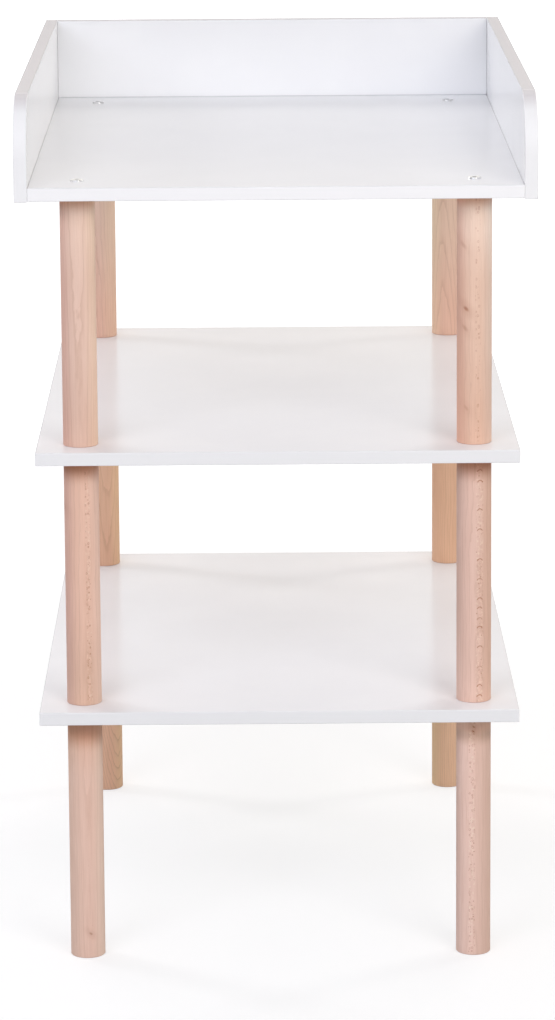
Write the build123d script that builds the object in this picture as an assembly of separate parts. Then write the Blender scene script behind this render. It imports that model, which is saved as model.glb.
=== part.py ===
from build123d import *
import os

# Changing table: a three-walled tray over two open shelves, stacked on twelve turned posts.
# Every post ends in a threaded insert. Studs pass through the shelves and join the posts
# above and below; four bolts clamp the tray base to the upper posts; long screws and dowels
# hold the tray walls. The frame is +Z up, the open front of the tray faces -Y, and the
# origin is on the floor under the middle of the tray. All sizes are in millimetres.

# ---- driving dimensions ----------------------------------------------------------------

# Turned posts
POST_DIAMETER = 40.0
POST_LENGTH = 289.0
POST_END_CHAMFER = 0.8

# Shelves, and how far the post centres stand in from their edges
SHELF_WIDTH = 550.0
SHELF_DEPTH = 780.0
SHELF_THICKNESS = 15.0
POST_SIDE_INSET = 50.0
POST_END_INSET = 50.0

# Tray
TRAY_SIDE_MARGIN = 3.5  # the tray base stands out past the sides of the shelves
TRAY_END_MARGIN = 5.0  # and past their front and rear edges
BASE_THICKNESS = 15.0
WALL_THICKNESS = 15.0
WALL_HEIGHT = 115.0  # from the underside of the base
WALL_CORNER_RADIUS = 65.0
WALL_DROP = 1.0  # the side walls reach this far below the base
EDGE_EASE = 1.0  # rounding along the visible edges of every board

# Machine thread of the studs and bolts, and the threaded inserts in the post ends
THREAD_DIAMETER = 8.0
THREAD_TIP_CHAMFER = 0.8
STUD_HOLE_CLEARANCE = 0.5  # radial, between a stud or bolt and a board
INSERT_ROOT_DIAMETER = 11.0
INSERT_CREST_DIAMETER = 13.0
INSERT_LENGTH = 18.0
INSERT_END_GAP = 2.0  # insert left unfilled past the end of a stud or bolt
INSERT_THREAD_PITCH = 3.0
INSERT_BORE_RELIEF = 2.0  # bore left empty past an insert

# Low domed bolts that show inside the tray
BOLT_HEAD_DIAMETER = 15.0
BOLT_HEAD_HEIGHT = 2.0
BOLT_HEAD_ROUNDING = 1.2
BOLT_SOCKET_SIZE = 5.0  # across the flats of the hexagon
BOLT_SOCKET_DEPTH = 4.0

# Wall screws, their hexagon sockets and their push-in caps
SCREW_LENGTH = 48.0
SCREW_HEAD_DIAMETER = 10.0
SCREW_HEAD_DEPTH = 3.0
SCREW_CREST_DIAMETER = 7.0
SCREW_ROOT_DIAMETER = 5.0
SCREW_THREAD_PITCH = 3.0
SCREW_TIP_LENGTH = 3.0
SCREW_BORE_RELIEF = 2.0
SCREW_SOCKET_SIZE = 4.0
SCREW_SOCKET_DEPTH = 3.0
CAP_OVERLAP = 1.5  # cap past the rim of the screw head
CAP_HEIGHT = 1.0
CAP_CHAMFER = 0.5
CAP_STEM_CLEARANCE = 0.1  # radial, between the stem of a cap and the flats of a socket
CAP_STEM_END_GAP = 0.8

# Dowels between the base and the walls
DOWEL_DIAMETER = 8.0
DOWEL_WALL_COVER = 5.0  # wall left outside a dowel bore
DOWEL_IN_BASE = 20.0
DOWEL_CHAMFER = 1.0
DOWEL_BORE_RELIEF = 1.0

# Where the wall fasteners sit
SIDE_SCREW_END_DISTANCE = 135.0  # outer side screws in from the ends of the base
SIDE_DOWEL_END_DISTANCE = 260.0
BACK_SCREW_END_DISTANCE = 100.0  # outer back screws in from the sides of the base
BACK_DOWEL_END_DISTANCE = 190.0
CORNER_SCREW_EDGE_DISTANCE = 26.0  # corner screws in from the top and foot of the back wall

# ---- derived levels and lines ----------------------------------------------------------

POST_RADIUS = POST_DIAMETER / 2
BASE_WIDTH = SHELF_WIDTH + 2 * TRAY_SIDE_MARGIN
BASE_DEPTH = SHELF_DEPTH + 2 * TRAY_END_MARGIN
TRAY_WIDTH = BASE_WIDTH + 2 * WALL_THICKNESS
TRAY_DEPTH = BASE_DEPTH + WALL_THICKNESS

FRONT_Y = -TRAY_DEPTH / 2  # front edges of the base and of the side walls
BASE_REAR_Y = FRONT_Y + BASE_DEPTH
TRAY_REAR_Y = TRAY_DEPTH / 2
MIDDLE_Y = (FRONT_Y + BASE_REAR_Y) / 2  # middle of the shelves and of the post pattern

LOWER_SHELF_Z = POST_LENGTH
MIDDLE_POST_Z = LOWER_SHELF_Z + SHELF_THICKNESS
MIDDLE_SHELF_Z = MIDDLE_POST_Z + POST_LENGTH
UPPER_POST_Z = MIDDLE_SHELF_Z + SHELF_THICKNESS
BASE_Z = UPPER_POST_Z + POST_LENGTH
BASE_TOP_Z = BASE_Z + BASE_THICKNESS
WALL_TOP_Z = BASE_Z + WALL_HEIGHT

POST_X = SHELF_WIDTH / 2 - POST_SIDE_INSET
POST_Y = SHELF_DEPTH / 2 - POST_END_INSET
POST_CENTRES = {
    "front_left": (-POST_X, MIDDLE_Y - POST_Y),
    "front_right": (POST_X, MIDDLE_Y - POST_Y),
    "rear_left": (-POST_X, MIDDLE_Y + POST_Y),
    "rear_right": (POST_X, MIDDLE_Y + POST_Y),
}

THREAD_GRIP = INSERT_LENGTH - INSERT_END_GAP  # thread engaged in one insert
CAP_DIAMETER = SCREW_HEAD_DIAMETER + 2 * CAP_OVERLAP
CAP_STEM_DIAMETER = SCREW_SOCKET_SIZE - 2 * CAP_STEM_CLEARANCE
CAP_STEM_LENGTH = SCREW_SOCKET_DEPTH - CAP_STEM_END_GAP
DOWEL_IN_WALL = WALL_THICKNESS - DOWEL_WALL_COVER - DOWEL_BORE_RELIEF

UP = (0, 0, 1)
DOWN = (0, 0, -1)
FORWARD = (0, -1, 0)
LEFT, RIGHT = -1, 1
ON_FOOT = (Align.CENTER, Align.CENTER, Align.MIN)
TINY = 0.01  # cutting bodies run past an open face by this much


# ---- shared shapes ---------------------------------------------------------------------


def placed(shape, origin, direction):
    """The shape moved from the Z axis to an axis that starts at origin."""
    return Plane(origin=origin, z_dir=direction).location * shape


def cylinder(diameter, length, start=0.0):
    """A cylinder along +Z that begins at height start."""
    return Pos(0, 0, start) * Cylinder(diameter / 2, length, align=ON_FOOT)


def turned(points):
    """A solid of revolution about Z from (radius, height) points."""
    outline = make_face(Polyline(*[(radius, 0, height) for radius, height in points], close=True))
    return revolve(outline, Axis.Z)


def ridges(start, end, root_diameter, crest_diameter, pitch):
    """Outline points for the rings that stand for a coarse thread, from start to end."""
    count = max(1, int((end - start) / pitch))
    step = (end - start) / count
    points = [(root_diameter / 2, start)]
    for turn in range(count):
        foot = start + turn * step
        points.append((crest_diameter / 2, foot + step / 2))
        points.append((root_diameter / 2, foot + step))
    return points


def hexagon_socket(size, depth, start):
    """The body that cuts a hexagon socket down from height start."""
    outline = RegularPolygon(size / 2, 6, major_radius=False)
    return Pos(0, 0, start - TINY) * extrude(outline, depth + TINY)


def eased_box(x_range, y_range, z_range):
    """A board between the given pairs of limits, with all its edges rounded."""
    size = [high - low for low, high in (x_range, y_range, z_range)]
    middle = [(high + low) / 2 for low, high in (x_range, y_range, z_range)]
    board = Pos(*middle) * Box(*size)
    return fillet(board.edges(), EDGE_EASE)


# ---- posts and their inserts -----------------------------------------------------------


def insert_bore():
    """The body that bores one end of a post for an insert, from the end face inwards."""
    return cylinder(INSERT_CREST_DIAMETER, INSERT_LENGTH + INSERT_BORE_RELIEF + TINY, -TINY)


def post(foot_z, bored_ends):
    """A turned post standing at foot_z on the Z axis. bored_ends names 'foot' and 'top'."""
    body = cylinder(POST_DIAMETER, POST_LENGTH)
    body = chamfer(body.edges(), POST_END_CHAMFER)
    if "foot" in bored_ends:
        body -= insert_bore()
    if "top" in bored_ends:
        body -= placed(insert_bore(), (0, 0, POST_LENGTH), DOWN)
    return Pos(0, 0, foot_z) * body


def threaded_insert():
    """A screw-in insert that starts flush with the end of a post."""
    outline = ridges(
        0, INSERT_LENGTH, INSERT_ROOT_DIAMETER, INSERT_CREST_DIAMETER, INSERT_THREAD_PITCH
    )
    inside = THREAD_DIAMETER / 2
    return turned([(inside, 0), *outline, (inside, INSERT_LENGTH)])


def at_posts(shape, height, direction=UP):
    """A copy of the shape on each post axis, starting at that height."""
    return [placed(shape, (x, y, height), direction) for x, y in POST_CENTRES.values()]


# ---- studs and bolts -------------------------------------------------------------------


def stud():
    """A threaded rod with equal grips above and below a shelf, starting at its lower end."""
    rod = cylinder(THREAD_DIAMETER, SHELF_THICKNESS + 2 * THREAD_GRIP)
    return chamfer(rod.edges(), THREAD_TIP_CHAMFER)


def tray_bolt():
    """A low domed bolt pointing along +Z, with the underside of its head at zero."""
    head = BOLT_HEAD_DIAMETER / 2
    shank = THREAD_DIAMETER / 2
    tip = BASE_THICKNESS + THREAD_GRIP
    body = turned([(0, -BOLT_HEAD_HEIGHT), (head, -BOLT_HEAD_HEIGHT), (head, 0), (shank, 0),
                   (shank, tip), (0, tip)])
    rim = body.edges().sort_by(Axis.Z)[0]
    body = fillet(rim, BOLT_HEAD_ROUNDING)
    body = chamfer(body.edges().sort_by(Axis.Z)[-1], THREAD_TIP_CHAMFER)
    return body - hexagon_socket(BOLT_SOCKET_SIZE, BOLT_SOCKET_DEPTH, -BOLT_HEAD_HEIGHT)


def stud_hole(thickness):
    """The body that cuts a clearance hole for a stud or bolt up through a board."""
    return cylinder(THREAD_DIAMETER + 2 * STUD_HOLE_CLEARANCE, thickness + 2 * TINY, -TINY)


# ---- wall screws, caps and dowels ------------------------------------------------------


def wall_screw():
    """A countersunk screw pointing along +Z, with the face of its head at zero."""
    head = SCREW_HEAD_DIAMETER / 2
    shank = SCREW_CREST_DIAMETER / 2
    thread_end = SCREW_LENGTH - SCREW_TIP_LENGTH
    thread = ridges(
        WALL_THICKNESS, thread_end, SCREW_ROOT_DIAMETER, SCREW_CREST_DIAMETER, SCREW_THREAD_PITCH
    )
    body = turned([(0, 0), (head, 0), (shank, SCREW_HEAD_DEPTH), (shank, WALL_THICKNESS),
                   *thread, (0, SCREW_LENGTH)])
    return body - hexagon_socket(SCREW_SOCKET_SIZE, SCREW_SOCKET_DEPTH, 0)


def wall_screw_hole():
    """The body that cuts the countersink and bore of a wall screw through both boards."""
    head = SCREW_HEAD_DIAMETER / 2
    shank = SCREW_CREST_DIAMETER / 2
    end = SCREW_LENGTH + SCREW_BORE_RELIEF
    return turned([(0, -TINY), (head, -TINY), (head, 0), (shank, SCREW_HEAD_DEPTH),
                   (shank, end), (0, end)])


def screw_cap():
    """A flat cap over a screw head, with a stem that plugs into its socket."""
    disc = chamfer(cylinder(CAP_DIAMETER, CAP_HEIGHT, -CAP_HEIGHT).edges().sort_by(Axis.Z)[0],
                   CAP_CHAMFER)
    return disc + cylinder(CAP_STEM_DIAMETER, CAP_STEM_LENGTH)


def dowel():
    """A dowel along +Z, with the joint between wall and base at zero."""
    pin = cylinder(DOWEL_DIAMETER, DOWEL_IN_WALL + DOWEL_IN_BASE, -DOWEL_IN_WALL)
    return chamfer(pin.edges(), DOWEL_CHAMFER)


def dowel_hole():
    """The body that cuts the blind bores of a dowel in both boards."""
    length = DOWEL_IN_WALL + DOWEL_IN_BASE + 2 * DOWEL_BORE_RELIEF
    return cylinder(DOWEL_DIAMETER, length, -DOWEL_IN_WALL - DOWEL_BORE_RELIEF)


BASE_MIDDLE_Z = (BASE_Z + BASE_TOP_Z) / 2
BACK_WALL_MIDDLE_Y = (BASE_REAR_Y + TRAY_REAR_Y) / 2
SIDE_SCREW_YS = [
    FRONT_Y + SIDE_SCREW_END_DISTANCE,
    MIDDLE_Y,
    BASE_REAR_Y - SIDE_SCREW_END_DISTANCE,
]
SIDE_DOWEL_YS = [FRONT_Y + SIDE_DOWEL_END_DISTANCE, BASE_REAR_Y - SIDE_DOWEL_END_DISTANCE]
BACK_SCREW_XS = [
    -BASE_WIDTH / 2 + BACK_SCREW_END_DISTANCE,
    0,
    BASE_WIDTH / 2 - BACK_SCREW_END_DISTANCE,
]
BACK_DOWEL_XS = [
    -BASE_WIDTH / 2 + BACK_DOWEL_END_DISTANCE,
    BASE_WIDTH / 2 - BACK_DOWEL_END_DISTANCE,
]
CORNER_SCREW_ZS = [
    BASE_Z + CORNER_SCREW_EDGE_DISTANCE,
    WALL_TOP_Z - CORNER_SCREW_EDGE_DISTANCE,
]


INWARD = {LEFT: (1, 0, 0), RIGHT: (-1, 0, 0)}


def side_screws(shape, side):
    """Copies at the screws through one side wall into the base, pointing inwards."""
    outside = side * TRAY_WIDTH / 2
    return [placed(shape, (outside, y, BASE_MIDDLE_Z), INWARD[side]) for y in SIDE_SCREW_YS]


def corner_screws(shape, side):
    """Copies at the screws through one side wall into the end of the back wall."""
    outside = side * TRAY_WIDTH / 2
    return [placed(shape, (outside, BACK_WALL_MIDDLE_Y, z), INWARD[side])
            for z in CORNER_SCREW_ZS]


def side_dowels(shape, side):
    """Copies at one side wall's dowels, pointing into the base."""
    inside = side * BASE_WIDTH / 2
    return [placed(shape, (inside, y, BASE_MIDDLE_Z), INWARD[side]) for y in SIDE_DOWEL_YS]


def back_screws(shape):
    """Copies at the back wall's screws, pointing forwards into the base."""
    return [placed(shape, (x, TRAY_REAR_Y, BASE_MIDDLE_Z), FORWARD) for x in BACK_SCREW_XS]


def back_dowels(shape):
    """Copies at the back wall's dowels, pointing forwards into the base."""
    return [placed(shape, (x, BASE_REAR_Y, BASE_MIDDLE_Z), FORWARD) for x in BACK_DOWEL_XS]


# ---- boards ----------------------------------------------------------------------------


def shelf(foot_z):
    """One shelf with its four stud holes."""
    board = eased_box(
        (-SHELF_WIDTH / 2, SHELF_WIDTH / 2),
        (MIDDLE_Y - SHELF_DEPTH / 2, MIDDLE_Y + SHELF_DEPTH / 2),
        (foot_z, foot_z + SHELF_THICKNESS),
    )
    return board - at_posts(stud_hole(SHELF_THICKNESS), foot_z)


def tray_base():
    """The tray floor, with bolt holes and the bores of the wall screws and dowels."""
    board = eased_box(
        (-BASE_WIDTH / 2, BASE_WIDTH / 2), (FRONT_Y, BASE_REAR_Y), (BASE_Z, BASE_TOP_Z)
    )
    cuts = at_posts(stud_hole(BASE_THICKNESS), BASE_Z)
    cuts += back_screws(wall_screw_hole()) + back_dowels(dowel_hole())
    for side in (LEFT, RIGHT):
        cuts += side_screws(wall_screw_hole(), side) + side_dowels(dowel_hole(), side)
    return board - cuts


def side_wall(side):
    """The left or right wall, whose upper front corner is rounded."""
    inner, outer = side * BASE_WIDTH / 2, side * TRAY_WIDTH / 2
    foot_z = BASE_Z - WALL_DROP
    wall = Pos((inner + outer) / 2, 0, (foot_z + WALL_TOP_Z) / 2) * Box(
        WALL_THICKNESS, TRAY_DEPTH, WALL_TOP_Z - foot_z
    )
    corner = wall.edges().filter_by(Axis.X).sort_by(Axis.Z)[2:].sort_by(Axis.Y)[0]
    wall = fillet(corner, WALL_CORNER_RADIUS)
    wall = fillet(wall.edges(), EDGE_EASE)
    cuts = side_screws(wall_screw_hole(), side) + corner_screws(wall_screw_hole(), side)
    return wall - (cuts + side_dowels(dowel_hole(), side))


def back_wall():
    """The back wall, which stands between the side walls behind the base."""
    wall = eased_box(
        (-BASE_WIDTH / 2, BASE_WIDTH / 2), (BASE_REAR_Y, TRAY_REAR_Y), (BASE_Z, WALL_TOP_Z)
    )
    cuts = back_screws(wall_screw_hole()) + back_dowels(dowel_hole())
    for side in (LEFT, RIGHT):
        cuts += corner_screws(wall_screw_hole(), side)
    return wall - cuts


# ---- the assembly ----------------------------------------------------------------------


def all_nodes():
    """Every named piece or group of like pieces, as lists of solids."""
    nodes = {
        "tray_base": [tray_base()],
        "tray_left_wall": [side_wall(LEFT)],
        "tray_right_wall": [side_wall(RIGHT)],
        "tray_back_wall": [back_wall()],
        "middle_shelf": [shelf(MIDDLE_SHELF_Z)],
        "lower_shelf": [shelf(LOWER_SHELF_Z)],
    }

    tiers = {
        "foot_post": (0.0, ("top",)),
        "middle_post": (MIDDLE_POST_Z, ("foot", "top")),
        "upper_post": (UPPER_POST_Z, ("foot", "top")),
    }
    for tier, (foot_z, bored_ends) in tiers.items():
        for corner, (x, y) in POST_CENTRES.items():
            nodes[f"{tier}_{corner}"] = [Pos(x, y, 0) * post(foot_z, bored_ends)]

    insert = threaded_insert()
    nodes["tray_bolts"] = at_posts(tray_bolt(), BASE_TOP_Z, DOWN)
    nodes["tray_bolt_inserts"] = at_posts(insert, BASE_Z, DOWN)
    for name, shelf_z in (("middle_shelf", MIDDLE_SHELF_Z), ("lower_shelf", LOWER_SHELF_Z)):
        nodes[f"{name}_studs"] = at_posts(stud(), shelf_z - THREAD_GRIP)
        nodes[f"{name}_upper_inserts"] = at_posts(insert, shelf_z + SHELF_THICKNESS)
        nodes[f"{name}_lower_inserts"] = at_posts(insert, shelf_z, DOWN)

    for name, side in (("left", LEFT), ("right", RIGHT)):
        for fastener, piece in (("screws", wall_screw()), ("screw_caps", screw_cap())):
            nodes[f"{name}_wall_{fastener}"] = side_screws(piece, side) + corner_screws(piece, side)
        nodes[f"{name}_wall_dowels"] = side_dowels(dowel(), side)
    nodes["back_wall_screws"] = back_screws(wall_screw())
    nodes["back_wall_screw_caps"] = back_screws(screw_cap())
    nodes["back_wall_dowels"] = back_dowels(dowel())
    return nodes


os.makedirs("parts", exist_ok=True)
for node_name, solids in all_nodes().items():
    shape = solids[0] if len(solids) == 1 else Compound(children=solids)
    export_step(shape, f"parts/{node_name}.step")
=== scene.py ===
import math

import bpy
from mathutils import Matrix, Vector


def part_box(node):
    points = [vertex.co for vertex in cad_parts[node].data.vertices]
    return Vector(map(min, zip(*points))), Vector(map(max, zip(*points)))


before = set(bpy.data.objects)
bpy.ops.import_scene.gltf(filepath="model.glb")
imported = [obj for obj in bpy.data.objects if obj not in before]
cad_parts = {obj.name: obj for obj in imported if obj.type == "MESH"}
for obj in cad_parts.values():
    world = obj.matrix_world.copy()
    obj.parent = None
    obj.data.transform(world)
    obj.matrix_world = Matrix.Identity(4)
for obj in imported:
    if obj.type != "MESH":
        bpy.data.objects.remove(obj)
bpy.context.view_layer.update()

# Looks of the changing table: white satin boards, beech posts, nickel bolts and white caps, on
# a white studio floor. Everything is in metres and degrees, +Z up, with the open front at -Y.


# ---- camera ----------------------------------------------------------------------------

CAMERA_PLACE = (-0.0207, -5.1169, 1.6230)
CAMERA_PITCH = 10.50  # below level
CAMERA_TURN = 0.26  # to the right
CAMERA_ROLL = -0.38
CAMERA_SENSOR = 36.0
CAMERA_LENS = 150.4
CAMERA_SHIFT_UP = -0.1765


def make_camera():
    """The camera in front of the open side of the tray, a little above its walls."""
    camera = bpy.data.objects.new("camera", bpy.data.cameras.new("camera"))
    bpy.context.scene.collection.objects.link(camera)
    camera.data.sensor_width = CAMERA_SENSOR
    camera.data.lens = CAMERA_LENS
    camera.data.shift_y = CAMERA_SHIFT_UP
    camera.data.clip_end = 200.0
    camera.matrix_world = (
        Matrix.Translation(CAMERA_PLACE)
        @ Matrix.Rotation(math.radians(-CAMERA_TURN), 4, "Z")
        @ Matrix.Rotation(math.radians(90.0 - CAMERA_PITCH), 4, "X")
        @ Matrix.Rotation(math.radians(CAMERA_ROLL), 4, "Z")
    )
    bpy.context.scene.camera = camera


# ---- shader expressions ----------------------------------------------------------------


class Value:
    """A number that varies over a surface. Arithmetic on it adds Math nodes."""

    def __init__(self, tree, socket):
        self.tree = tree
        self.socket = socket

    def math(self, operation, *operands, clamp=False):
        settings = {"operation": operation, "use_clamp": clamp}
        return self.tree.node("ShaderNodeMath", settings, dict(enumerate(operands)))

    def __add__(self, other):
        return self.math("ADD", self, other)

    def __sub__(self, other):
        return self.math("SUBTRACT", self, other)

    def __rsub__(self, other):
        return self.math("SUBTRACT", other, self)

    def __mul__(self, other):
        return self.math("MULTIPLY", self, other)

    def __truediv__(self, other):
        return self.math("DIVIDE", self, other)

    def __pow__(self, other):
        return self.math("POWER", self, other)

    def __abs__(self):
        return self.math("ABSOLUTE", self)

    __radd__ = __add__
    __rmul__ = __mul__

    def fraction(self):
        """The part after the decimal point."""
        return self.math("FRACT", self)

    def ramp(self, low, high):
        """0 at low and 1 at high, with a smooth step between."""
        settings = {"interpolation_type": "SMOOTHSTEP"}
        sockets = {"Value": self, "From Min": low, "From Max": high}
        return self.tree.node("ShaderNodeMapRange", settings, sockets)


class Tree:
    """The node tree of a material or of the world."""

    def __init__(self, owner):
        owner.use_nodes = True
        self.nodes = owner.node_tree.nodes
        self.links = owner.node_tree.links

    def set(self, node, sockets):
        """Gives values or links to a node's sockets, by name or number."""
        for key, value in sockets.items():
            if isinstance(value, Value):
                self.links.new(value.socket, node.inputs[key])
            else:
                node.inputs[key].default_value = value

    def node(self, kind, settings=None, sockets=None, output=0):
        """A new node, as the value of one of its outputs."""
        node = self.nodes.new(kind)
        for key, value in (settings or {}).items():
            setattr(node, key, value)
        self.set(node, sockets or {})
        return Value(self, node.outputs[output])

    def coordinate(self, output="Object"):
        """The place on the object in metres, or another of the texture coordinates."""
        return self.node("ShaderNodeTexCoord", output=output)

    def parts(self, vector):
        """The x, y and z of a vector."""
        node = self.node("ShaderNodeSeparateXYZ", sockets={0: vector}).socket.node
        return [Value(self, output) for output in node.outputs]

    def vector(self, x, y, z):
        return self.node("ShaderNodeCombineXYZ", sockets={0: x, 1: y, 2: z})

    def noise(self, vector, scale, detail=2.0, roughness=0.5):
        """Soft noise from about 0.3 to 0.7, with its features 1/scale apart."""
        sockets = {"Vector": vector, "Scale": scale, "Detail": detail, "Roughness": roughness}
        return self.node("ShaderNodeTexNoise", sockets=sockets)

    def mix(self, share, first, second, blend="MIX"):
        """A colour between two, or the second laid on the first."""
        settings = {"data_type": "RGBA", "blend_type": blend}
        colours = {6: first, 7: second}
        for key, colour in colours.items():
            if isinstance(colour, tuple):
                colours[key] = (*colour, 1.0)
        return self.node("ShaderNodeMix", settings, {0: share, **colours}, output=2)

    def bump(self, height, strength, distance):
        sockets = {"Height": height, "Strength": strength, "Distance": distance}
        return self.node("ShaderNodeBump", sockets=sockets)


def finish_of(name, sockets):
    """A material and its tree; sockets takes the tree and gives the shader's sockets."""
    material = bpy.data.materials.new(name)
    tree = Tree(material)
    tree.set(tree.nodes["Principled BSDF"], sockets(tree))
    return material


# ---- boards and caps -------------------------------------------------------------------

# Whites of the satin coat towards the open front and towards the rear. Their change from front
# to rear is painted light: the base and side walls are painted lighter towards the rear, and the
# shelves cooler at the front and warmer at the rear. The back wall's two whites are the same.
SHELF_WHITES_AND_PAINTED_LIGHT = (0.892, 0.889, 0.902), (0.896, 0.889, 0.896)
BASE_WHITES_AND_PAINTED_LIGHT = (0.845, 0.845, 0.865), (0.895, 0.894, 0.902)
SIDE_WALL_WHITES_AND_PAINTED_LIGHT = (0.862, 0.862, 0.868), (0.936, 0.935, 0.938)
BACK_WALL_WHITES = (0.870, 0.870, 0.875), (0.870, 0.870, 0.875)
CLOUD_TINT = (0.988, 0.988, 0.990)

# Edge bands. They are one band material in three whites, as painted light and shade: painted
# lighter on the tray base's front and darker on the shelves' fronts.
SHELF_BAND_PAINTED_DARKER = (0.888, 0.886, 0.888)
BASE_BAND_PAINTED_LIGHTER = (0.955, 0.950, 0.955)
WALL_BAND = (0.908, 0.905, 0.908)
# painted shade: the wall's band painted darker where it looks up
WALL_TOP_PAINTED_SHADE = (0.748, 0.715, 0.727)
BEND_PAINTED_SHADE = (0.850, 0.850, 0.860)  # painted shade where a wall's band starts to bend over
BAND_JOINT = (0.700, 0.690, 0.680)
SEAM_GREY = (0.400, 0.400, 0.420)
SEAM_STRENGTH = 0.36
# painted light: the satin coat painted whiter beside a seam, where the corner lies in shade
CORNER_PAINTED_LIGHT = (0.980, 0.980, 0.985)
CORNER_REACH = 0.10  # how far from the seam the painted corner light reaches


def white_board(name, thin_axis, whites_and_painted_light, band_white, top_painted_shade=None, seam=None):
    """Satin white coat on the broad faces, and edge band round the narrow ones.

    The top white is the band painted darker where it looks up, as painted shade, and seam is the
    (axis, place, width, side) of the dark line where another board meets this one; beside it the
    coat is painted whiter, as painted light in the shaded corner. The coat's whites also change
    from the open front to the rear, as painted light.
    """

    def sockets(tree):
        place = tree.coordinate()
        along = tree.parts(place)
        normal = tree.parts(tree.coordinate("Normal"))
        square_on = abs(normal[thin_axis])
        band = 1.0 - square_on.ramp(0.25, 0.60)
        joint = square_on.ramp(0.72, 0.90) * (1.0 - square_on.ramp(0.95, 0.999))
        cloud = tree.noise(place, 14.0, detail=3.0).ramp(0.35, 0.65)
        peel = tree.noise(place, 650.0, detail=1.0)
        speckle = tree.noise(place, 2400.0, detail=0.0)
        # painted light: the satin coat's whites change from the open front to the rear
        coat_and_painted_light = tree.mix(along[1].ramp(-0.42, 0.40), *whites_and_painted_light)
        if seam:
            axis, line, width, inner_side = seam
            off_line = abs(along[axis] - line)
            inner = (normal[thin_axis] * inner_side).ramp(0.3, 0.9)
            sideways = 0.6 + abs(along[0]).ramp(0.12, 0.27) * 0.4
            # painted light in the shaded corner beside the seam, stronger towards the board's ends
            painted_corner_light = (1.0 - off_line.ramp(0.0, CORNER_REACH)) * sideways
            coat_and_painted_light = tree.mix(painted_corner_light * inner, coat_and_painted_light, CORNER_PAINTED_LIGHT)
        coat_and_painted_light = tree.mix(cloud, coat_and_painted_light, CLOUD_TINT, "MULTIPLY")
        edging_and_painted_shade = band_white
        # painted shade: the band is painted darker where it looks up
        if top_painted_shade:
            edging_and_painted_shade = tree.mix(normal[2].ramp(0.70, 0.97), band_white, top_painted_shade)
            # painted shade where the band starts to bend over
            bend = normal[2].ramp(0.90, 0.965) * (1.0 - normal[2].ramp(0.985, 0.998))
            edging_and_painted_shade = tree.mix(bend, edging_and_painted_shade, BEND_PAINTED_SHADE, "MULTIPLY")
        colour = tree.mix(joint * 0.5, tree.mix(band, coat_and_painted_light, edging_and_painted_shade), BAND_JOINT)
        if seam:
            line_share = (1.0 - off_line.ramp(width * 0.5, width)) * inner * SEAM_STRENGTH
            colour = tree.mix(line_share, colour, SEAM_GREY)
        return {
            "Base Color": colour,
            "Roughness": 0.14 + band * 0.06 + speckle * 0.06,
            "Specular IOR Level": 0.12,
            "Normal": tree.bump(peel + speckle * 0.3, 0.10, 0.0003),
        }

    return finish_of(name, sockets)


def white_cap():
    """Moulded white plastic with a fine grain."""

    def sockets(tree):
        place = tree.coordinate()
        grain = tree.noise(place, 2600.0, detail=2.0)
        shade = tree.noise(place, 60.0).ramp(0.3, 0.7)
        return {
            "Base Color": tree.mix(shade, (0.86, 0.86, 0.85), (0.82, 0.82, 0.81)),
            "Roughness": 0.34 + grain * 0.16,
            "Normal": tree.bump(grain, 0.15, 0.0001),
        }

    return finish_of("white_cap", sockets)


# ---- beech -----------------------------------------------------------------------------

POST_RADIUS = 0.020
RING_WIDTH = 0.0026
TONE_TINT = (0.97, 0.94, 0.92)
STREAK_TINT = (0.92, 0.85, 0.81)
LATE_WOOD = (0.500, 0.270, 0.165)
FLECK_BROWN = (0.460, 0.170, 0.090)
FLECK_PALE = (0.960, 0.760, 0.620)
FLECK_SCALE = 330.0
BOW_SPACING = 0.0115
BOW_RADIUS = 0.0031
KNOT_BROWN = (0.420, 0.160, 0.085)


def knot(place, angle, height, size, ripple):
    """How much of a small slanting knot shows at a place on a post."""
    u, v, h = place
    sine = math.sin(math.radians(angle))
    cosine = math.cos(math.radians(angle))
    right = (u - POST_RADIUS * sine) * cosine + (v + POST_RADIUS * cosine) * sine
    deep = (u - POST_RADIUS * sine) * sine - (v + POST_RADIUS * cosine) * cosine
    up = h - height + ripple * 0.004
    along = (right - up) * 0.32
    across = (right + up) * 0.70
    reach = (along * along + across * across + deep * deep) ** 0.5
    return (1.0 - reach.ramp(size * 0.15, size)) * 0.7 + (1.0 - reach.ramp(0.0, size * 4.0)) * 0.3


def flecks_of(tree, side, h, seed):
    """Dots, little loops and bows in the column of pores along the face of a post."""
    cells = {
        "Vector": tree.vector(side, 0.0, h * 0.8 + seed),
        "Scale": FLECK_SCALE,
        "Randomness": 0.9,
    }
    reach = tree.node("ShaderNodeTexVoronoi", None, cells)
    chance = tree.parts(tree.node("ShaderNodeTexVoronoi", None, cells, output=1))[0]
    dots = (1.0 - reach.ramp(0.10, 0.26)) * chance.ramp(0.50, 0.55)
    loops = (1.0 - abs(reach - 0.32).ramp(0.04, 0.15)) * (1.0 - chance.ramp(0.40, 0.45))

    level = h / BOW_SPACING
    number = level.math("FLOOR", level)
    luck = tree.node(
        "ShaderNodeTexWhiteNoise", {"noise_dimensions": "1D"}, {"W": number + seed})
    up = (level - number - 0.25 - luck * 0.4) * BOW_SPACING
    bow_reach = (side * side + up * up) ** 0.5
    bows = (1.0 - abs(bow_reach - BOW_RADIUS).ramp(0.0002, 0.0010)) * up.ramp(0.0, 0.0015)
    return dots, loops, bows * luck.ramp(0.50, 0.70)


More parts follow.
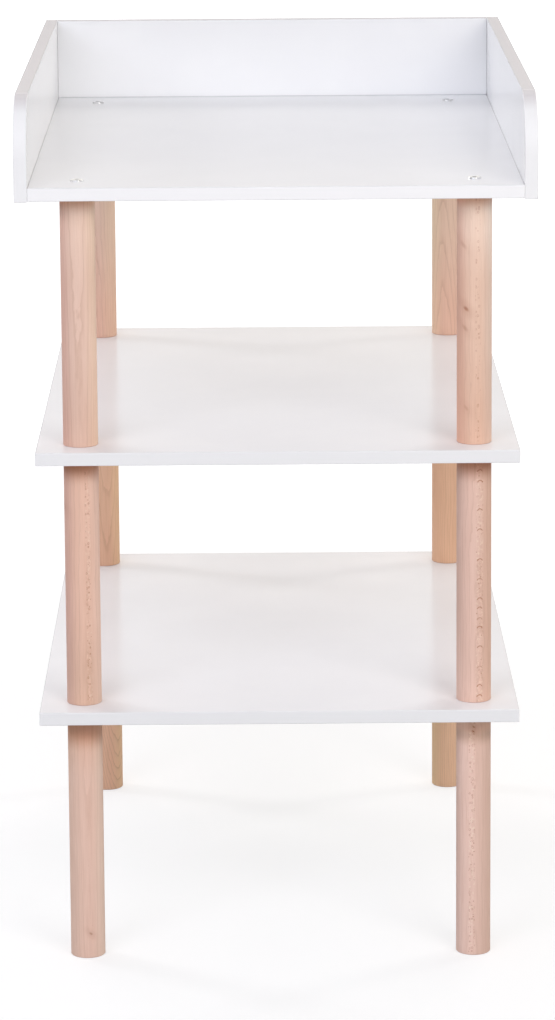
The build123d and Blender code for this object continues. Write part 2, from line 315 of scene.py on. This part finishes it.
def beech(name, node, colour, face=0.0, pith=0.07, tilt=0.01, start=0.0, rings=0.35,
          wobble=0.0012, flecks=(0.0, 0.0, 0.0), column=0.0035, painted_shading=(), sides=(), knots=()):
    """Turned beech cut beside the pith.

    face is the angle from the front towards the right of the side that looks away from the
    pith, pith is how far off the pith lies, and tilt is how fast it nears up the post: there
    the rings show as arches. start shifts them. flecks are the strengths of the dots, loops and
    bows in a column of that half width along the face. The shades are (from height, to height,
    tint): painted shade and painted light along the post, such as the painted shadow just under
    a board, painted light a little lower and painted shade towards the foot. sides are (angle,
    tint): partly the wood's own colour towards that side, partly painted light and shade from
    the side. knots are (angle, height, size, strength).
    """
    low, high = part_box(node)
    centre_x = (low[0] + high[0]) / 2.0
    centre_y = (low[1] + high[1]) / 2.0
    out_x = math.sin(math.radians(face))
    out_y = -math.cos(math.radians(face))

    def sockets(tree):
        x, y, z = tree.parts(tree.coordinate())
        u = x - centre_x
        v = y - centre_y
        h = z - low[2]
        wander = tree.noise(tree.vector(x, y, z * 0.25), 45.0, detail=2.0) - 0.5
        ripple = tree.noise(tree.vector(x, y, z * 0.35), 230.0, detail=1.0) - 0.5
        away = pith - (h - start) * tilt
        radius = ((u + away * out_x) ** 2.0 + (v + away * out_y) ** 2.0) ** 0.5
        grown = radius + wander * wobble * 4.0 + ripple * wobble
        ring = (grown / RING_WIDTH).fraction()
        edge = 1.0 - ring.ramp(0.95, 1.0)
        late = (ring ** 3.0 * 0.5 + ring.ramp(0.76, 0.92) * 0.5) * edge

        side = v * out_x - u * out_y + ripple * 0.002
        outward = (u * out_x + v * out_y).ramp(0.0, POST_RADIUS * 0.5)
        strip = (1.0 - abs(side).ramp(column * 0.7, column * 1.2)) * outward
        dots, loops, bows = flecks_of(tree, side, h, centre_x + low[2])
        dark_fleck = (dots * flecks[0] + loops * flecks[1] + bows * flecks[2]) * strip
        pale_fleck = tree.noise(tree.vector(x, y, z * 0.8), 420.0).ramp(0.52, 0.66) * strip
        fibre = tree.noise(tree.vector(u, v, h * 0.025), 1500.0, detail=3.0)
        thread = tree.noise(tree.vector(u, v, h * 0.020), 800.0, detail=1.0).ramp(0.35, 0.65)
        streak = tree.noise(tree.vector(u, v, h * 0.05), 260.0, detail=2.0).ramp(0.35, 0.65)
        tone = tree.noise(tree.vector(u, v, h * 0.30), 40.0, detail=1.0).ramp(0.30, 0.70)

        wood = tree.mix(tone * 0.30, colour, TONE_TINT, "MULTIPLY")
        wood = tree.mix(streak * 0.20, wood, STREAK_TINT, "MULTIPLY")
        wood = tree.mix(thread * 0.08, wood, LATE_WOOD)
        wood = tree.mix(late * rings, wood, LATE_WOOD)
        wood = tree.mix(fibre.ramp(0.30, 0.70) * 0.10, wood, LATE_WOOD)
        wood = tree.mix(pale_fleck * flecks[0] * 0.5, wood, FLECK_PALE)
        wood = tree.mix(dark_fleck, wood, FLECK_BROWN)
        for angle, height, size, strength in knots:
            mark = knot((u, v, h), angle, height, size, ripple)
            wood = tree.mix(mark * strength, wood, KNOT_BROWN)
        # painted shade and painted light along the post: the painted shadow just under a board,
        # painted light a little lower and painted shade towards the foot
        for start_height, end_height, tint in painted_shading:
            wood = tree.mix(h.ramp(start_height, end_height), wood, tint, "MULTIPLY")
        # partly the wood's own colour towards a side, partly painted light and shade from the sides
        for angle, tint in sides:
            towards = u * math.sin(math.radians(angle)) - v * math.cos(math.radians(angle))
            wood = tree.mix((towards / POST_RADIUS).ramp(0.25, 1.0), wood, tint, "MULTIPLY")
        return {
            "Base Color": wood,
            "Roughness": 0.46 + fibre * 0.18 + late * 0.06,
            "Specular IOR Level": 0.35,
            "Normal": tree.bump(fibre * 0.8 - late * 0.3 - dark_fleck * 0.3, 0.25, 0.0003),
        }

    return finish_of(name, sockets)


POSTS = {
    "upper_post_front_left": dict(
        colour=(0.860, 0.615, 0.505), face=-2, pith=0.136, tilt=-0.010, start=0.117, rings=0.28,
        wobble=0.0006, flecks=(0.1, 0.0, 0.0),
        painted_shading=((0.269, 0.289, (1.02, 0.78, 0.625)), (0.180, 0.260, (1.06, 1.09, 1.09)),
                (0.120, 0.000, (0.905, 0.865, 0.84))),
        sides=((-90, (1.00, 0.90, 0.90)), (90, (1.12, 1.16, 1.10)))),
    "upper_post_front_right": dict(
        colour=(0.875, 0.615, 0.480), face=9, pith=0.06, tilt=0.004, rings=0.18,
        flecks=(0.15, 0.40, 0.0), column=0.0028,
        painted_shading=((0.269, 0.289, (1.03, 0.75, 0.60)), (0.180, 0.270, (1.13, 1.24, 1.31)),
                (0.160, 0.000, (0.94, 0.875, 0.84))),
        sides=((-90, (0.98, 0.87, 0.85)), (90, (1.03, 1.12, 1.20))),
        knots=((-31, 0.157, 0.0028, 0.80), (-35, 0.135, 0.0034, 0.40),
               (-42, 0.230, 0.0040, 0.35), (-30, 0.042, 0.0026, 0.30))),
    "upper_post_rear_left": dict(
        colour=(0.975, 0.700, 0.560), face=-30, pith=0.09, tilt=0.02, rings=0.22,
        painted_shading=((0.190, 0.020, (0.91, 0.80, 0.77)),),
        sides=((-90, (0.95, 0.87, 0.82)), (70, (1.04, 1.10, 1.05)))),
    "upper_post_rear_right": dict(
        colour=(0.975, 0.710, 0.555), face=-20, pith=0.071, tilt=0.045, start=0.167, rings=0.25,
        wobble=0.0008, painted_shading=((0.170, 0.020, (0.93, 0.82, 0.80)),),
        sides=((-90, (1.03, 1.12, 1.05)),)),
    "middle_post_front_left": dict(
        colour=(0.885, 0.580, 0.450), face=22, pith=0.05, tilt=0.003, rings=0.20,
        flecks=(0.6, 0.5, 0.0), column=0.0030,
        painted_shading=((0.259, 0.288, (0.645, 0.385, 0.235)), (0.120, 0.000, (0.87, 0.88, 0.86))),
        sides=((-90, (0.93, 0.90, 0.95)), (90, (1.05, 1.12, 1.18))),
        knots=((-78, 0.235, 0.0036, 0.5),)),
    "middle_post_front_right": dict(
        colour=(0.870, 0.605, 0.505), face=17, pith=0.05, tilt=0.004, rings=0.24,
        flecks=(0.9, 0.2, 0.7), column=0.0046,
        painted_shading=((0.257, 0.288, (0.65, 0.39, 0.245)),),
        sides=((-90, (0.93, 0.93, 0.93)), (75, (0.94, 0.89, 0.83)))),
    "middle_post_rear_left": dict(
        colour=(0.875, 0.545, 0.365), face=11, pith=0.0996, tilt=-0.04, start=0.102, rings=0.29,
        wobble=0.0008, painted_shading=((0.120, 0.000, (0.93, 0.90, 0.90)),),
        sides=((-90, (0.94, 0.86, 0.90)), (90, (1.06, 1.14, 1.05)))),
    "middle_post_rear_right": dict(
        colour=(0.880, 0.545, 0.355), face=60, pith=0.08, tilt=0.008, rings=0.26),
    "foot_post_front_left": dict(
        colour=(0.890, 0.615, 0.500), face=11, pith=0.1204, tilt=-0.0085, start=0.229,
        rings=0.16, wobble=0.0005, flecks=(0.1, 0.0, 0.0),
        painted_shading=((0.246, 0.272, (0.78, 0.62, 0.52)), (0.212, 0.259, (0.96, 0.92, 0.88))),
        sides=((-70, (1.02, 1.05, 1.04)), (90, (1.10, 1.21, 1.23))),
        knots=((12, 0.030, 0.0018, 0.6),)),
    "foot_post_front_right": dict(
        colour=(0.915, 0.640, 0.540), face=-8, pith=0.045, tilt=0.003, rings=0.14,
        flecks=(1.0, 0.40, 0.0), column=0.0038,
        painted_shading=((0.250, 0.264, (0.82, 0.79, 0.735)), (0.264, 0.274, (1.17, 1.13, 1.09))),
        sides=((-60, (1.08, 1.11, 1.12)), (60, (0.92, 0.92, 0.90))),
        knots=((-3, 0.270, 0.0014, 0.8), (-2, 0.276, 0.0014, 0.8))),
    "foot_post_rear_left": dict(
        colour=(0.980, 0.600, 0.405), face=50, pith=0.12, tilt=-0.15, rings=0.40,
        sides=((-90, (0.93, 0.88, 0.90)), (90, (1.02, 1.12, 1.05)))),
    "foot_post_rear_right": dict(
        colour=(0.990, 0.640, 0.420), face=80, pith=0.10, tilt=0.005, rings=0.26,
        sides=((-90, (1.01, 1.10, 1.02)),)),
}


RAW_BEECH = (0.760, 0.560, 0.455)
RAW_BEECH_DARK = (0.700, 0.480, 0.370)


def dowel_beech():
    """Unfinished beech of the wall dowels, with fine fibres and streaks."""

    def sockets(tree):
        place = tree.coordinate()
        fibre = tree.noise(place, 1400.0, detail=3.0)
        streak = tree.noise(place, 260.0, detail=1.0).ramp(0.35, 0.65)
        wood = tree.mix(streak * 0.5, RAW_BEECH, RAW_BEECH_DARK)
        return {
            "Base Color": tree.mix(fibre.ramp(0.3, 0.7) * 0.3, wood, LATE_WOOD),
            "Roughness": 0.55 + fibre * 0.25,
            "Normal": tree.bump(fibre, 0.3, 0.0002),
        }

    return finish_of("dowel_beech", sockets)


# ---- metals ----------------------------------------------------------------------------

BOLT_HEAD_RADIUS = 0.0075
TURNING_PITCH = 0.00035  # between the turning rings on a bolt head


def bright_nickel():
    """Plated bolt heads with fine turning rings round each head, and small rubs."""
    low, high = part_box("tray_bolts")
    out_x = (high[0] - low[0]) / 2.0 - BOLT_HEAD_RADIUS
    out_y = (high[1] - low[1]) / 2.0 - BOLT_HEAD_RADIUS
    middle_y = (high[1] + low[1]) / 2.0

    def sockets(tree):
        place = tree.coordinate()
        x, y, _ = tree.parts(place)
        u = abs(x) - out_x
        v = abs(y - middle_y) - out_y
        radius = (u * u + v * v) ** 0.5
        turning = (radius / TURNING_PITCH).fraction()
        rub = tree.noise(place, 700.0, detail=3.0).ramp(0.35, 0.65)
        return {
            "Base Color": tree.mix(rub, (0.86, 0.86, 0.86), (0.76, 0.76, 0.76)),
            "Metallic": 1.0,
            "Roughness": 0.22 + rub * 0.14,
            "Normal": tree.bump(turning, 0.12, 0.00005),
        }

    return finish_of("bright_nickel", sockets)


def plated(name, bright, dull, roughness):
    """Zinc or brass on the hidden screws, studs and inserts, clouded by handling."""

    def sockets(tree):
        place = tree.coordinate()
        cloud = tree.noise(place, 420.0, detail=3.0).ramp(0.30, 0.70)
        return {
            "Base Color": tree.mix(cloud, bright, dull),
            "Metallic": 1.0,
            "Roughness": roughness + cloud * 0.15,
            "Normal": tree.bump(cloud, 0.08, 0.00005),
        }

    return finish_of(name, sockets)


# ---- studio ----------------------------------------------------------------------------

FLOOR_HALF_SIZE = 60.0
FLOOR_GREY = 0.50
NEAR_GLOW = 0.545
FAR_GLOW = 0.80

# Strength of the low, middle and high screens on each side of the room, and of its ceiling
FRONT_SCREENS = (1.14, 1.00, 1.63)
REAR_SCREENS = (1.04, 0.85, 2.50)
LEFT_SCREENS = (0.00, 1.49, 0.00)
RIGHT_SCREENS = (1.72, 0.00, 0.00)
CEILING = 0.44

COOL_WHITE = (0.98, 1.00, 1.09)
WARM_WHITE = (1.04, 1.00, 0.95)

KEY_AIM = (0.0, -0.2, 0.7)
REAR_AIM = (0.0, 0.2, 0.6)
KEY_SIZE = (1.4, 0.9)
REAR_SIZE = (0.7, 0.7)

# Name, place, aim, size, watts and colour
SOFTBOXES = (
    ("key_left", (-1.3, -2.6, 1.9), KEY_AIM, KEY_SIZE, 13.1, (0.99, 1.00, 1.10)),
    ("key_right", (1.3, -2.6, 1.9), KEY_AIM, KEY_SIZE, 19.1, (1.05, 1.00, 0.90)),
    ("rear_left", (-2.6, 1.5, 1.8), REAR_AIM, REAR_SIZE, 20.6, (1.00, 1.00, 1.03)),
    ("rear_right", (2.6, 1.5, 1.8), REAR_AIM, REAR_SIZE, 15.7, (1.04, 1.00, 0.97)),
)


def seen(tree):
    """1 where the room or the floor is looked at, and 0 where it only lights the object."""
    return tree.node("ShaderNodeLightPath")


def make_floor():
    """A wide white floor that fades into the white of the room."""
    h = FLOOR_HALF_SIZE
    mesh = bpy.data.meshes.new("studio_floor")
    mesh.from_pydata([(-h, -h, 0), (h, -h, 0), (h, h, 0), (-h, h, 0)], [], [(0, 1, 2, 3)])
    floor = bpy.data.objects.new("studio_floor", mesh)
    bpy.context.scene.collection.objects.link(floor)

    def sockets(tree):
        x, y, _ = tree.parts(tree.coordinate())
        far = ((x * x + y * y) ** 0.5).ramp(0.8, 3.5)
        return {
            "Base Color": (FLOOR_GREY, FLOOR_GREY, FLOOR_GREY, 1.0),
            "Roughness": 1.0,
            "Specular IOR Level": 0.0,
            "Emission Color": seen(tree) * (NEAR_GLOW + far * (FAR_GLOW - NEAR_GLOW)),
            "Emission Strength": 1.0,
        }

    mesh.materials.append(finish_of("studio_floor", sockets))


def make_room():
    """A white room whose light comes from screens: cool ones in front, warm ones behind."""
    world = bpy.data.worlds.new("studio")
    bpy.context.scene.world = world
    tree = Tree(world)
    x, y, z = tree.parts(tree.coordinate("Generated"))
    ahead = y / ((x * x + y * y) ** 0.5)
    front = (0.0 - ahead).ramp(0.50, 0.90)
    rear = ahead.ramp(0.50, 0.90)
    side = 1.0 - abs(ahead).ramp(0.42, 0.90)
    right = side * x.ramp(-0.01, 0.01)
    left = side - right
    levels = (
        z.ramp(0.06, 0.14) * (1.0 - z.ramp(0.26, 0.34)),
        z.ramp(0.26, 0.34) * (1.0 - z.ramp(0.46, 0.54)),
        z.ramp(0.46, 0.54) * (1.0 - z.ramp(0.70, 0.80)),
    )
    light = z.ramp(0.70, 0.80) * CEILING
    sides = (front, FRONT_SCREENS), (rear, REAR_SCREENS), (left, LEFT_SCREENS), (right, RIGHT_SCREENS)
    for part, screens in sides:
        for level, strength in zip(levels, screens):
            light = light + part * level * strength
    share = seen(tree)
    strength = light * (1.0 - share) + share
    warmth = (y * 0.8 + x * 0.6).ramp(-0.5, 0.6) * (1.0 - share)
    colour = tree.mix(warmth, COOL_WHITE, WARM_WHITE)
    tree.set(tree.nodes["Background"], {"Color": colour, "Strength": strength})
    bpy.context.scene.view_settings.view_transform = "Standard"


def make_softbox(name, place, aim, size, watts, colour):
    """A soft rectangular lamp turned towards a point."""
    light = bpy.data.objects.new(name, bpy.data.lights.new(name, "AREA"))
    bpy.context.scene.collection.objects.link(light)
    light.data.shape = "RECTANGLE"
    light.data.size, light.data.size_y = size
    light.data.energy = watts
    light.data.color = colour
    light.location = place
    light.rotation_euler = (Vector(aim) - Vector(place)).to_track_quat("-Z", "Y").to_euler()


# ---- the parts -------------------------------------------------------------------------


def dress():
    """Gives each CAD piece its finish."""
    zinc = plated("zinc_steel", (0.66, 0.67, 0.69), (0.54, 0.55, 0.57), 0.28)
    brass = plated("insert_brass", (0.78, 0.62, 0.34), (0.62, 0.46, 0.24), 0.30)
    base_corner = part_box("tray_base")[1]
    shelf_board = white_board("shelf_board", 2, SHELF_WHITES_AND_PAINTED_LIGHT, SHELF_BAND_PAINTED_DARKER)
    base_board = white_board(
        "base_board", 2, BASE_WHITES_AND_PAINTED_LIGHT, BASE_BAND_PAINTED_LIGHTER, seam=(1, base_corner[1], 0.003, 1.0))
    side_board = white_board("side_board", 0, SIDE_WALL_WHITES_AND_PAINTED_LIGHT, WALL_BAND, WALL_TOP_PAINTED_SHADE)
    rear_board = white_board(
        "rear_board", 1, BACK_WALL_WHITES, WALL_BAND, WALL_TOP_PAINTED_SHADE,
        seam=(2, base_corner[2], 0.0015, -1.0))
    finishes = {
        "tray_base": base_board,
        "middle_shelf": shelf_board,
        "lower_shelf": shelf_board,
        "tray_left_wall": side_board,
        "tray_right_wall": side_board,
        "tray_back_wall": rear_board,
        "tray_bolts": bright_nickel(),
        "tray_bolt_inserts": brass,
    }
    cap = white_cap()
    dowel = dowel_beech()
    for shelf in ("middle", "lower"):
        finishes[f"{shelf}_shelf_studs"] = zinc
        finishes[f"{shelf}_shelf_upper_inserts"] = brass
        finishes[f"{shelf}_shelf_lower_inserts"] = brass
    for wall in ("left", "right", "back"):
        finishes[f"{wall}_wall_screws"] = zinc
        finishes[f"{wall}_wall_screw_caps"] = cap
        finishes[f"{wall}_wall_dowels"] = dowel
    for post, grain in POSTS.items():
        finishes[post] = beech(f"beech_{post}", post, **grain)
    for name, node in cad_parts.items():
        node.data.materials.clear()
        node.data.materials.append(finishes[name])


make_camera()
make_floor()
make_room()
for softbox in SOFTBOXES:
    make_softbox(*softbox)
dress()
